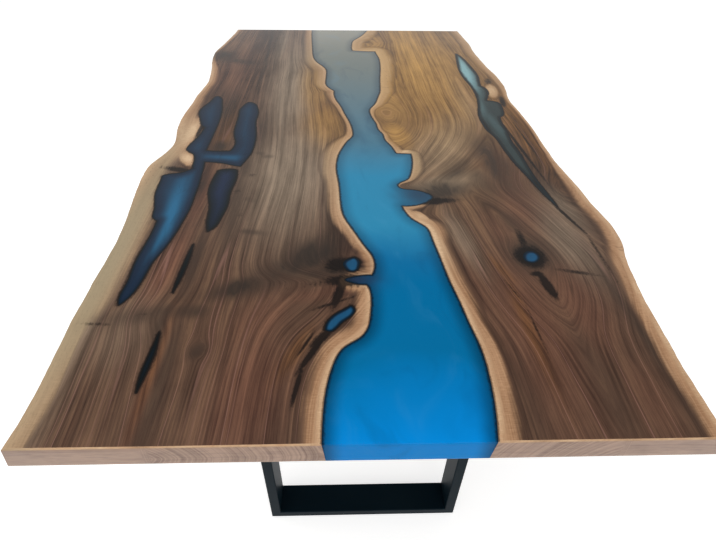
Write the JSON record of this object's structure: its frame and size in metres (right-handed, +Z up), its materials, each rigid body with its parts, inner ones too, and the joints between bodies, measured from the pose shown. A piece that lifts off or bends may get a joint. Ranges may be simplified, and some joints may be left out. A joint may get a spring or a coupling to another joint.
{
  "type": "river table",
  "caption": "Long dining table: live-edge walnut slabs joined by a blue resin river, on flat black steel leg frames with levelling feet.",
  "frame": {"origin": "on the floor, under the middle of the table's box", "axes": "+Z up, +Y along the table from its front end, the near one in the picture, to its rear end, +X to the right as seen from the front end"},
  "size_m": [1.1111, 2, 0.758],
  "materials": {
    "walnut": "clear gloss finish",
    "river_resin": "pearly blue cast resin, polished",
    "inlay_resin": "milky blue cast resin, polished",
    "dark_resin": "blue-black cast resin, polished",
    "frame_steel": "satin black powder coat",
    "zinc_steel": "bright zinc plate",
    "brass": "turned brass",
    "foot_plastic": "black moulded nylon"
  },
  "bodies": {
    "table": {"river_resin": "river_resin", "left_slab": "walnut", "right_slab": "walnut", "branched_inlay": "inlay_resin", "dark_pocket_inlay": "dark_resin", "riverside_knot_inlay": "inlay_resin", "slanted_knot_inlay": "inlay_resin", "front_crack_fill": "dark_resin", "middle_crack_fill": "dark_resin", "edge_channel_inlay": "inlay_resin", "right_knot_inlay": "inlay_resin", "front_stiffener": "frame_steel", "front_stiffener_screws": "zinc_steel", "front_foot_bar": "frame_steel", "front_left_post": "frame_steel", "front_right_post": "frame_steel", "front_mounting_plate": "frame_steel", "front_leg_bolts": "zinc_steel", "front_leg_washers": "zinc_steel", "front_leg_inserts": "brass", "front_foot_nuts": "zinc_steel", "rear_stiffener": "frame_steel", "rear_stiffener_screws": "zinc_steel", "rear_foot_bar": "frame_steel", "rear_left_post": "frame_steel", "rear_right_post": "frame_steel", "rear_mounting_plate": "frame_steel", "rear_leg_bolts": "zinc_steel", "rear_leg_washers": "zinc_steel", "rear_leg_inserts": "brass", "rear_foot_nuts": "zinc_steel"},
    "front_left_foot_pad": {"front_left_foot_pad": "foot_plastic"},
    "front_left_foot_stem": {"front_left_foot_stem": "zinc_steel"},
    "front_right_foot_pad": {"front_right_foot_pad": "foot_plastic"},
    "front_right_foot_stem": {"front_right_foot_stem": "zinc_steel"},
    "rear_left_foot_pad": {"rear_left_foot_pad": "foot_plastic"},
    "rear_left_foot_stem": {"rear_left_foot_stem": "zinc_steel"},
    "rear_right_foot_pad": {"rear_right_foot_pad": "foot_plastic"},
    "rear_right_foot_stem": {"rear_right_foot_stem": "zinc_steel"}
  },
  "joints": [
    {"name": "front_left_foot_height", "type": "slide", "parent": "table", "child": "front_left_foot_pad", "axis": [0, 0, -1], "range_m": [0, 0.012]},
    {"name": "front_left_foot_turn", "type": "hinge", "parent": "front_left_foot_pad", "child": "front_left_foot_stem", "pos_m": [-0.205, -0.7285, 0], "axis": [0, 0, -1], "range_deg": [0, 3456]},
    {"name": "front_right_foot_height", "type": "slide", "parent": "table", "child": "front_right_foot_pad", "axis": [0, 0, -1], "range_m": [0, 0.012]},
    {"name": "front_right_foot_turn", "type": "hinge", "parent": "front_right_foot_pad", "child": "front_right_foot_stem", "pos_m": [0.205, -0.7285, 0], "axis": [0, 0, -1], "range_deg": [0, 3456]},
    {"name": "rear_left_foot_height", "type": "slide", "parent": "table", "child": "rear_left_foot_pad", "axis": [0, 0, -1], "range_m": [0, 0.012]},
    {"name": "rear_left_foot_turn", "type": "hinge", "parent": "rear_left_foot_pad", "child": "rear_left_foot_stem", "pos_m": [-0.205, 0.7285, 0], "axis": [0, 0, -1], "range_deg": [0, 3456]},
    {"name": "rear_right_foot_height", "type": "slide", "parent": "table", "child": "rear_right_foot_pad", "axis": [0, 0, -1], "range_m": [0, 0.012]},
    {"name": "rear_right_foot_turn", "type": "hinge", "parent": "rear_right_foot_pad", "child": "rear_right_foot_stem", "pos_m": [0.205, 0.7285, 0], "axis": [0, 0, -1], "range_deg": [0, 3456]}
  ],
  "couplings": [
    {"joint": "front_left_foot_height", "follows": "front_left_foot_turn", "m_per_rad": 0.00019894},
    {"joint": "front_right_foot_height", "follows": "front_right_foot_turn", "m_per_rad": 0.00019894},
    {"joint": "rear_left_foot_height", "follows": "rear_left_foot_turn", "m_per_rad": 0.00019894},
    {"joint": "rear_right_foot_height", "follows": "rear_right_foot_turn", "m_per_rad": 0.00019894}
  ]
}
